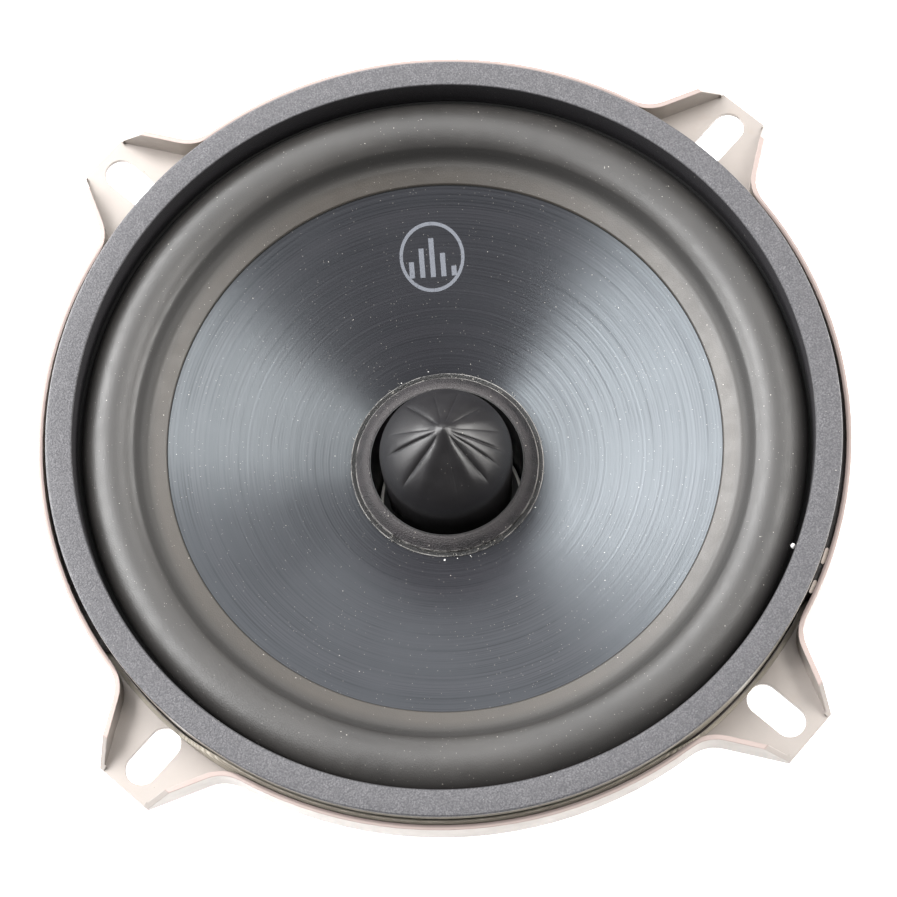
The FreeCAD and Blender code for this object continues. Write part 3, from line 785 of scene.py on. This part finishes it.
def surround():
    made = turned_piece("surround_roll", surround_outline(), rubber_material(), 480, crease_deg=50)
    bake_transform(made, "diaphragm", "frame", start=(CONE_RIM_R * MM, 0, 0), end=(ROLL_MID_R * 1.07 * MM, 0, 0))
    radial_blend(made, CONE_RIM_R + 0.3, ROLL_MID_R + ROLL_HALF)
    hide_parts("surround")


def radial_blend(made, start, end):
    """A ring-shaped piece goes from the first body to the second along its radius."""
    weights = made.data.attributes["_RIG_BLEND"].data
    for vertex, weight in zip(made.data.vertices, weights):
        weight.value = smoothstep(start, end, math.hypot(vertex.co.x, vertex.co.y) / MM)


def cone():
    neck_r = FORMER_OUT + GLUE_GAP
    drop = CONE_THICK * math.hypot(1, CONE_SLOPE)
    neck_low = cone_front(neck_r) - 2.0
    corners = [
        (neck_r, neck_low),
        (neck_r + CONE_THICK, neck_low),
        (neck_r + CONE_THICK, cone_front(neck_r + CONE_THICK) - drop),
        (CONE_RIM_R + 0.1, cone_front(CONE_RIM_R + 0.1) - drop),
        (CONE_RIM_R - 0.1, cone_front(CONE_RIM_R - 0.1)),
        (neck_r, cone_front(neck_r)),
    ]
    outline = rounded(corners, [0.1, 0.1, 0.4, 0.15, 0.15, 0.5])
    made = turned_piece("cone_shell", outline, cone_material(), 480)
    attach(made, "diaphragm")
    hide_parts("cone")


def cone_print():
    """A printed mark on the cone: a ring with five level bars in it."""
    centre_r = 34.0
    ring_radii = (4.85, 5.4)
    bar_half, bar_pitch, bar_low = 0.42, 1.75, -3.1
    bar_tops = (-0.6, 1.4, 2.9, 0.5, -1.6)
    thick = 0.03
    quarter_steps = 24
    quarter_share = 0.998       # the ring's four patches stay just clear of each other
    out_way = polar(1, 45, 0)
    right_way = Vector((out_way.y, -out_way.x, 0))

    def patch(grid):
        """Points and faces of a closed patch on the cone, over a grid of (right, out) places."""
        rows, columns = len(grid), len(grid[0])
        points, faces = [], []
        for layer in (GLUE_GAP * 0.25, thick):
            for row in grid:
                for u, v in row:
                    flat = out_way * (centre_r + v) + right_way * u
                    points.append((flat.x, flat.y, cone_front(flat.length) + layer))

        def at(i, j, layer):
            return (layer * rows + i) * columns + j

        for i in range(rows - 1):
            for j in range(columns - 1):
                for layer in (0, 1):
                    faces.append((at(i, j, layer), at(i, j + 1, layer),
                                  at(i + 1, j + 1, layer), at(i + 1, j, layer)))
        rim = [(i, j, i + 1, j) for i in range(rows - 1) for j in (0, columns - 1)]
        rim += [(i, j, i, j + 1) for j in range(columns - 1) for i in (0, rows - 1)]
        for i, j, m, n in rim:
            faces.append((at(i, j, 0), at(m, n, 0), at(m, n, 1), at(i, j, 1)))
        return points, faces

    patches = []
    for quarter in range(4):
        turns = [quarter + quarter_share * k / quarter_steps for k in range(quarter_steps + 1)]
        patches.append(patch([[(r * math.sin(math.pi / 2 * turn), r * math.cos(math.pi / 2 * turn))
                               for r in ring_radii] for turn in turns]))
    for index, top in enumerate(bar_tops):
        middle = (index - 2) * bar_pitch
        heights = [bar_low + (top - bar_low) * k / 10 for k in range(11)]
        patches.append(patch([[(middle + side, height) for side in (-bar_half, bar_half)]
                              for height in heights]))
    made = mesh_piece("cone_print", *joined(patches), print_material())
    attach(made, "diaphragm")


def collar():
    inner = FORMER_OUT + GLUE_GAP
    step_r = COLLAR_OUT - COLLAR_FOOT
    corners = [
        (inner, cone_front(inner) + GLUE_GAP),
        (COLLAR_OUT, cone_front(COLLAR_OUT) + GLUE_GAP),
        (COLLAR_OUT, cone_front(COLLAR_OUT) + 0.3),
        (step_r, cone_front(step_r) + 0.3),
        (step_r, cone_front(step_r) + 0.75),
        (inner + 0.4, FORMER_TOP),
        (inner, FORMER_TOP),
    ]
    outline = rounded(corners, [0, 0, 0.16, 0.08, 0.22, 0.15, 0.06])
    ripple = ripples(5, 14, (5, 40), (0.008, 0.022))

    def frayed(r, z, angle):
        wave = ripple(angle)
        if r < inner + 0.2 or z < cone_front(r) + 0.1:
            return 0, 0
        return wave * 0.5, abs(wave) * -0.4

    made = turned_piece("cone_collar_ring", outline, collar_material(), 480, frayed)
    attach(made, "diaphragm")
    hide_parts("cone_collar")


def collar_fibres():
    """Short fibres and threads of glue that stand out round the collar's edges."""
    rough = random.Random(11)
    fibres = []
    for _ in range(80):
        turn = rough.uniform(0, 360)
        radius = COLLAR_OUT + rough.uniform(-0.9, 0.15)
        z = cone_front(radius) + (0.34 if radius > COLLAR_OUT - COLLAR_FOOT else 0.78)
        length = rough.uniform(0.12, 0.5)
        lean = rough.uniform(-1, 1)
        bend = rough.uniform(-25, 25)
        path = []
        for k in range(5):
            t = k / 4
            out = radius + length * t * math.cos(lean * 1.4)
            side = math.degrees(length * t * math.sin(lean * 1.4 + math.radians(bend) * t) / radius)
            arched = z + 0.12 * math.sin(math.pi * t)
            path.append(polar(out, turn + side, max(arched, cone_front(out) + 0.05)))
        fibres.append(tube_parts(path, rough.uniform(0.018, 0.035), 4))
    made = mesh_piece("collar_fibres", *joined(fibres), fibre_material())
    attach(made, "diaphragm")


# Each crease of the plug: its bearing from the right of the main view, its depth and its width,
# and the fold beside it, which is how far round it stands and how high.
PLUG_CREASES = (
    (14, 0.16, 0.55, 11, 0.10),
    (45, 0.14, 0.35, 12, 0.08),
    (76, 0.14, 0.30, -12, 0.06),
    (102, 0.14, 0.30, 12, 0.06),
    (133, 0.30, 0.26, -9, 0.08),
    (169, 0.14, 0.30, 10, 0.06),
    (190, 0.34, 0.20, -9, 0.08),
    (225, 0.42, 0.40, 20, 0.30),
    (284, 0.12, 0.30, 9, 0.05),
    (318, 0.42, 0.40, -16, 0.28),
    (338, 0.20, 0.18, 8, 0.05),
    (354, 0.34, 0.22, -8, 0.07),
)


def plug_profile():
    """The dome as a smooth line down to the widest place, then the stem."""
    dome = [(0, 0), (1.1, -0.7), (2.6, -2.2), (5.2, -4.3), (8.6, -7.7), (10.3, -10.3)]
    dome = [(r, PLUG_TIP + z) for r, z in dome + [(PLUG_WIDE_R, -PLUG_WIDE_DROP)]]
    stem = [(PLUG_WIDE_R - (PLUG_WIDE_R - PLUG_STEM_R) * t * t,
             PLUG_WIDE_Z - (PLUG_WIDE_Z - PLUG_LOW - 0.3) * t) for t in (k / 10 for k in range(1, 11))]
    return through(dome, 12) + stem


def plug_fold(r, z, angle):
    """How far the dome's skin stands out of its turned shape, along its slope."""
    if z < PLUG_WIDE_Z + 0.5 or r < 0.9:
        return 0, 0
    bearing = math.degrees(angle) - VIEW_RIGHT_DEG
    reach = smoothstep(0.9, 3.0, r) * (1 - smoothstep(7.2, 10.2, r))
    out = 0
    for middle, depth, width, fold_deg, fold_high in PLUG_CREASES:
        off = (bearing - middle + 180) % 360 - 180
        arc = math.radians(off) * r
        out -= depth * math.exp(-abs(arc) / width)
        fold = math.radians(off - fold_deg) * r / (0.75 + abs(fold_deg) * 0.022)
        out += fold_high * math.exp(-fold * fold)
    out *= reach
    return out * 0.62, out * 0.78


def plug():
    outline = plug_profile() + [
        (PLUG_STEM_R - 0.3, PLUG_LOW),
        (SCREW_HOLE_R, PLUG_LOW),
        (SCREW_HOLE_R, SCREW_HOLE_TOP),
        (0, SCREW_HOLE_TOP),
    ]
    made = turned_piece("phase_plug_fluted", outline, plug_material(), 720, plug_fold, 50)
    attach(made, "frame")
    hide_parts("phase_plug")


# The trough between the ring and the basket's lip. Bearings count from the right of the main view.
GLUE_LOW_TOP = 2.1
DARK_FILL_TOP = 4.7            # top of the black fill that stands in for the trough's shade on the right
GLUE_OUT = LIP_IN - 0.06
# Bearings of the two pale pads that stand in for light falling on the trough's floor.
TROUGH_LIT_PATCHES = ((-21.1, -18.5), (-25.7, -23.6))
LIT_PATCH_HALF = 0.3


def trough_glue_and_shade_fill():
    """Black glue squeezed out between the ring and the lip; on the right it fills the trough high, a black piece
    that stands in for the trough's shade.
    """
    inner = RING_OUT - 0.28
    outline = [
        (inner, FLANGE_LOW + GLUE_GAP),
        (GLUE_OUT, FLANGE_LOW + GLUE_GAP),
        (GLUE_OUT, GLUE_LOW_TOP - 0.1),
        (inner, GLUE_LOW_TOP),
    ]
    ripple = ripples(3, 10, (9, 90), (0.01, 0.03))

    def glue_and_fill_shape(r, z, angle):
        bearing = view_bearing(angle)
        from_ear = abs((math.degrees(angle) + 45) % 90 - 45)
        # On the right the fill rises high in the trough, a black piece standing in for its shade.
        full = smoothstep(-27.5, -25.5, bearing) * (1 - smoothstep(34, 40, bearing))
        narrow = (GLUE_OUT - inner - 0.14) * (1 - smoothstep(14.6, 15.6, from_ear))
        rise = (DARK_FILL_TOP - GLUE_LOW_TOP) * full + ripple(angle)
        return (-narrow if r > inner else 0), (rise if z > FLANGE_LOW + 0.5 else 0)

    made = turned_piece("trough_glue_and_shade_fill", outline, adhesive_material(), 720, glue_and_fill_shape)
    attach(made, "frame")


def trough_gasket():
    """Layers of the gasket that stand out beside the ring, on the near side only."""
    low = FLANGE_LOW + 0.2
    outline = [
        (RING_OUT + 0.04, low),
        (LIP_IN - 0.2, low),
        (LIP_IN - 0.2, 4.95),
        (LIP_IN - 0.35, 5.25),
        (RING_OUT + 0.14, 5.35),
        (RING_OUT + 0.04, 5.75),
    ]

    def sunk(_, z, angle):
        bearing = view_bearing(angle)
        shown = smoothstep(-132, -122, bearing) * (1 - smoothstep(-58, -50, bearing))
        return 0, (shown - 1) * (z - FLANGE_LOW - 0.2) * 0.9

    made = turned_piece("trough_gasket", outline, gasket_layer_material(), 480, sunk)
    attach(made, "frame")


def trough_lit_patches():
    """Two small pale pads with rounded ends that lie on the black fill: painted light, for lit patches of the
    trough's floor.
    """
    middle_r = (RING_OUT + LIP_IN) / 2 + 0.02
    steps = 12
    rows = [range(row * (steps + 1), (row + 1) * (steps + 1)) for row in range(4)]
    faces = [(rows[a][k], rows[a][k + 1], rows[b][k + 1], rows[b][k])
             for k in range(steps) for a, b in ((0, 1), (2, 3), (0, 2), (1, 3))]
    lit_patch_parts = []
    for start_deg, end_deg in TROUGH_LIT_PATCHES:
        points = []
        for z in (DARK_FILL_TOP - 0.1, DARK_FILL_TOP + 0.16):
            for side in (-1, 1):
                for k in range(steps + 1):
                    t = k / steps
                    half = side * LIT_PATCH_HALF * math.sqrt(1 - (2 * t - 1) ** 8)
                    degrees = start_deg + (end_deg - start_deg) * t + VIEW_RIGHT_DEG
                    points.append(polar(middle_r + half, degrees, z))
        lit_patch_parts.append((points, faces))
    made = mesh_piece("trough_lit_patches", *joined(lit_patch_parts), lit_patch_material())
    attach(made, "frame")


def crumb_parts(centre, size, seed):
    """Points and faces of a small lumpy grain."""
    rough = random.Random(seed)
    lumps = []
    for _ in range(6):
        way = Vector((rough.uniform(-1, 1), rough.uniform(-1, 1), rough.uniform(-1, 1)))
        lumps.append((way.normalized(), rough.uniform(0.1, 0.3)))
    outline = [(math.sin(math.pi * k / 8), math.cos(math.pi * k / 8)) for k in range(9)]
    outline[0], outline[-1] = (0, 1), (0, -1)
    points, faces = turned_parts(outline, 12)
    grown = []
    for point in points:
        way = Vector(point).normalized()
        reach = 1 + sum(high * max(0, way.dot(lump)) ** 3 for lump, high in lumps)
        grown.append(Vector(centre) + Vector((way.x * size[0], way.y * size[0], way.z * size[1])) * reach)
    return grown, faces


# Crumbs by the collar: radius, bearing from the right of the main view, and size.
CONE_CRUMBS = (
    (16.6, -91.2, 0.15),
    (16.35, -84.0, 0.08),
    (16.3, -76.5, 0.07),
    (16.4, -28.0, 0.09),
    (16.5, 101.0, 0.07),
    (16.2, 118.0, 0.07),
)


def crumbs():
    """A grain of white glue on the ring's inner wall, and a few by the collar."""
    wall = crumb_parts(polar(RING_IN - 0.42, -20.5 + VIEW_RIGHT_DEG, 7.0), (0.34, 0.45), 4)
    made = mesh_piece("glue_crumb_ring", *wall, crumb_material(), 60)
    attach(made, "frame")
    parts = []
    for seed, (radius, bearing, size) in enumerate(CONE_CRUMBS):
        centre = polar(radius, bearing + VIEW_RIGHT_DEG, cone_front(radius) + size * 0.8)
        parts.append(crumb_parts(centre, (size, size * 0.8), seed))
    made = mesh_piece("glue_crumbs_cone", *joined(parts), crumb_material(), 60)
    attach(made, "diaphragm")


# ---------- the pieces seen through the basket ----------
def spider():
    """The corrugated cloth from the ledge in to the former."""
    mid = LEDGE_Z + SPIDER_THICK / 2
    first, last = SPIDER_OUT - 5.5, SPIDER_IN + 2.6
    steps = SPIDER_WAVES * 16
    line = [(SPIDER_IN, mid), (last - 0.6, mid)]
    for k in range(steps + 1):
        t = k / steps
        fade = smoothstep(0, 0.08, t) * (1 - smoothstep(0.92, 1, t))
        line.append((last + (first - last) * t, mid - 0.85 * fade * math.sin(2 * math.pi * SPIDER_WAVES * t)))
    line += [(first + 0.6, mid), (SPIDER_OUT, mid)]
    made = turned_piece("spider_corrugated", wall_outline(line, SPIDER_THICK - 0.05), spider_material(), 360)
    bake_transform(made, "diaphragm", "frame", start=(SPIDER_IN * MM, 0, 0), end=(SPIDER_OUT * MM, 0, 0))
    radial_blend(made, SPIDER_IN + 1.0, SPIDER_OUT - 5.0)
    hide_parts("spider")


def winding():
    """Two layers of round wire; the outer one shows its turns."""
    wire = 0.29
    inner = FORMER_OUT + GLUE_GAP
    count = int((WINDING_TOP - WINDING_LOW) / wire)
    pitch = (WINDING_TOP - WINDING_LOW) / count
    outline = [(inner, WINDING_TOP), (inner, WINDING_LOW)]
    for turn in range(count):
        for k in range(7):
            angle = math.pi * (k / 6 - 0.5)
            z = WINDING_LOW + (turn + 0.5) * pitch + math.sin(angle) * pitch * 0.49
            outline.append((WINDING_OUT - wire / 2 + math.cos(angle) * wire / 2, z))
    made = turned_piece("voice_coil_turns", outline, copper_material(), 120, crease_deg=60)
    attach(made, "diaphragm")
    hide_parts("voice_coil_winding")


BOARD_THICK = 1.6
BLADE_THICK = 0.8
LEAD_START_Z = LEDGE_Z + BOARD_THICK + BLADE_THICK + 0.65
LEAD_R = 0.45
LEAD_END_X = 4.6
STRAND_PITCH = 3.2
PAD_MID_Z = low_mm("lead_pads").z + 0.8


def lead_route(x, end_x):
    drift = end_x - x
    return [
        (x, -41.0, LEAD_START_Z),
        (x, -38.2, LEAD_START_Z),
        (x + 0.10 * drift, -35.2, LEAD_START_Z + 1.9),
        (x + 0.35 * drift, -32.0, LEAD_START_Z + 4.2),
        (x + 0.65 * drift, -28.2, LEAD_START_Z + 5.0),
        (end_x, -24.9, PAD_MID_Z),
        (end_x, -21.9, PAD_MID_Z),
    ]


def smooth_line(route, name):
    """Points along the NURBS spline whose control points are the route's."""
    curve = bpy.data.curves.new(name, "CURVE")
    curve.dimensions = "3D"
    spline = curve.splines.new("NURBS")
    spline.points.add(len(route) - 1)
    for point, place in zip(spline.points, route):
        point.co = (*(Vector(place) * MM), 1)
    spline.order_u = 3
    spline.use_endpoint_u = True
    spline.resolution_u = 12
    holder = bpy.data.objects.new(name, curve)
    bpy.context.scene.collection.objects.link(holder)
    mesh = bpy.data.meshes.new_from_object(holder)
    line = [v.co / MM for v in mesh.vertices]
    bpy.data.objects.remove(holder)
    return line


def braid_parts(line, strands=8):
    """Round strands laid in a rope about the line, on a core."""
    core_share, strand_share = 0.72, 0.26     # of the lead's radius
    parts = [tube_parts(line, LEAD_R * core_share)]
    lengths = [0.0]
    for a, b in zip(line, line[1:]):
        lengths.append(lengths[-1] + (b - a).length)
    for strand in range(strands):
        path = []
        for (place, across, other), length in zip(frames_along(line), lengths):
            turn = 2 * math.pi * (strand / strands + length / STRAND_PITCH)
            path.append(place + (across * math.cos(turn) + other * math.sin(turn)) * LEAD_R * core_share)
        parts.append(tube_parts(path, LEAD_R * strand_share, 5))
    return joined(parts)


def tinsel_leads():
    material = tinsel_material()
    for name, sign in (("positive", 1), ("negative", -1)):
        low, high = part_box("tinsel_lead_" + name)
        outer_x = (high.x if sign > 0 else low.x) / MM - sign * LEAD_R
        line = smooth_line(lead_route(outer_x, sign * LEAD_END_X), "route_" + name)
        made = mesh_piece("tinsel_braid_" + name, *braid_parts(line), material)
        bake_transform(made, "frame", "diaphragm", start=(0, -0.0385, 0), end=(0, -0.0245, 0))
        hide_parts("tinsel_lead_" + name)


def solder_blobs():
    """A cold-edged dome of solder on each tab, round the lead's end."""
    low, high = low_mm("solder_joints"), high_mm("solder_joints")
    middle_y = (low.y + high.y) / 2
    half_y = (high.y - low.y) / 2
    half_x = 1.2
    rings, around = 9, 32
    parts = []
    for x in (high.x - half_x, low.x + half_x):
        points = []
        for ring in range(rings):
            t = ring / (rings - 1)
            size = math.cos(t * math.pi / 2) ** 0.55
            z = low.z + (high.z - low.z) * math.sin(t * math.pi / 2) ** 1.15
            for k in range(around):
                turn = 2 * math.pi * k / around
                lump = 1 - 0.05 + 0.05 * math.sin(3 * turn + x)
                points.append((x + half_x * size * lump * math.cos(turn),
                               middle_y + half_y * size * lump * math.sin(turn), z))
        parts.append((points, stacked_faces(rings, around)))
    made = mesh_piece("solder_domes", *joined(parts), solder_material(), 60)
    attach(made, "frame")
    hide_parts("solder_joints")


def finish_cad_nodes():
    """Materials of the nodes that keep their own shape."""
    bright = bright_steel_material()
    brass = brass_material()
    tin = tin_material()
    finishes = {
        "basket": steel_material(),
        "front_plate": plate_material(),
        "t_yoke": plate_material(),
        "plate_rivets": bright,
        "plug_screw": bright,
        "magnet": ferrite_material(),
        "terminal_board": board_material(),
        "board_rivet": brass,
        "terminal_rivets": brass,
        "terminal_positive": tin,
        "terminal_negative": tin,
        "voice_coil_former": former_material(),
        "former_wrap": kraft_material(),
        "coil_leadouts": copper_material(),
        "lead_pads": adhesive_material(),
    }
    for name, material in finishes.items():
        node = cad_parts[name]
        for material_slot in node.material_slots:
            material_slot.material = material


# ---------- floor, light and camera ----------
def floor():
    half = 3.0
    corners = [(x, y, BACK_Z * MM) for x, y in ((-half, -half), (half, -half), (half, half), (-half, half))]
    mesh = bpy.data.meshes.new("floor")
    mesh.from_pydata(corners, [], [(0, 1, 2, 3)])
    mesh.materials.append(floor_material())
    made = bpy.data.objects.new("floor", mesh)
    bpy.context.scene.collection.objects.link(made)


def view_direction(right, away, up):
    """A direction given as right and away in the main view, and up."""
    turn = math.radians(VIEW_RIGHT_DEG)
    right_way = Vector((math.cos(turn), math.sin(turn), 0))
    away_way = Vector((-math.sin(turn), math.cos(turn), 0))
    return (right_way * right + away_way * away + Vector((0, 0, up))).normalized()


def softbox(name, place, length_way, distance, length, width, radiance, color):
    """A rectangular light that faces the object."""
    direction, along = view_direction(*place), view_direction(*length_way)
    light = bpy.data.lights.new(name, "AREA")
    light.shape = "RECTANGLE"
    light.size = length
    light.size_y = width
    light.color = color
    light.energy = radiance * math.pi * length * width
    made = bpy.data.objects.new(name, light)
    across = direction.cross(along).normalized()
    long_way = across.cross(direction).normalized()
    turn = Matrix((long_way, across, direction)).transposed()
    made.matrix_world = Matrix.Translation(direction * distance) @ turn.to_4x4()
    bpy.context.scene.collection.objects.link(made)


WHITE = (1, 1, 1)
WARM_WHITE = (1.0, 0.985, 0.96)

# Each light: where it is and which way its length runs, both seen in the main view, its distance, length,
# width, radiance and colour.
LIGHTS = {
    "key_left": ((-0.583, 0.272, 0.766), (0.05, 0.96, -0.3), 0.75, 0.85, 0.35, 13, WHITE),
    "fill_right": ((0.51, 0.17, 0.843), (0, 1, 0), 0.9, 0.45, 0.25, 11.5, WARM_WHITE),
    "low_left": ((-0.95, 0.2, 0.18), (0, 1, 0), 0.9, 0.85, 0.4, 12, WHITE),
    "low_right": ((0.95, 0.14, 0.2), (0, 1, 0), 0.9, 0.9, 0.44, 9.5, WARM_WHITE),
    "overhead": ((0, 0.4, 0.92), (1, 0, 0), 0.9, 1.0, 0.5, 2.0, WHITE),
    "back_low": ((0, 0.9, 0.44), (1, 0, 0), 0.9, 1.0, 0.3, 3, WHITE),
}


def lights():
    for name, settings in LIGHTS.items():
        softbox(name, *settings)
    world = bpy.data.worlds.new("studio")
    world.use_nodes = True
    background = world.node_tree.nodes["Background"]
    background.inputs["Color"].default_value = (1, 1, 1, 1)
    background.inputs["Strength"].default_value = 0.23
    bpy.context.scene.world = world


CAMERA_FROM_RING = 500.1
CAMERA_AZIMUTH_DEG = -41.86
CAMERA_ELEVATION_DEG = 70.745
CAMERA_ROLL_DEG = -7.276
CAMERA_PAN_DEG = -0.0593
CAMERA_TILT_DEG = -0.4656
CAMERA_LENS = 126.33


def camera():
    azimuth = math.radians(CAMERA_AZIMUTH_DEG)
    elevation = math.radians(CAMERA_ELEVATION_DEG)
    back = Vector((math.sin(azimuth) * math.cos(elevation), -math.cos(azimuth) * math.cos(elevation),
                   math.sin(elevation)))
    right = (-back).cross(Vector((0, 0, 1))).normalized()
    up = right.cross(-back)
    pan, tilt = math.tan(math.radians(CAMERA_PAN_DEG)), math.tan(math.radians(CAMERA_TILT_DEG))
    forward = (-back - right * pan + up * tilt).normalized()
    level = forward.cross(up).normalized()
    upright = level.cross(forward)
    roll = math.radians(CAMERA_ROLL_DEG)
    across = level * math.cos(roll) + upright * math.sin(roll)
    upright = upright * math.cos(roll) - level * math.sin(roll)
    data = bpy.data.cameras.new("camera")
    data.sensor_width = 36
    data.lens = CAMERA_LENS
    data.clip_start = 0.01
    data.clip_end = 20
    made = bpy.data.objects.new("camera", data)
    place = (Vector((0, 0, RING_TOP)) + back * CAMERA_FROM_RING) * MM
    made.matrix_world = Matrix.Translation(place) @ Matrix((across, upright, -forward)).transposed().to_4x4()
    bpy.context.scene.collection.objects.link(made)
    bpy.context.scene.camera = made
    bpy.context.scene.view_settings.view_transform = "Standard"


gasket_ring()
surround()
cone()
cone_print()
collar()
collar_fibres()
plug()
trough_glue_and_shade_fill()
trough_gasket()
trough_lit_patches()
crumbs()
spider()
winding()
tinsel_leads()
solder_blobs()
finish_cad_nodes()
floor()
lights()
camera()
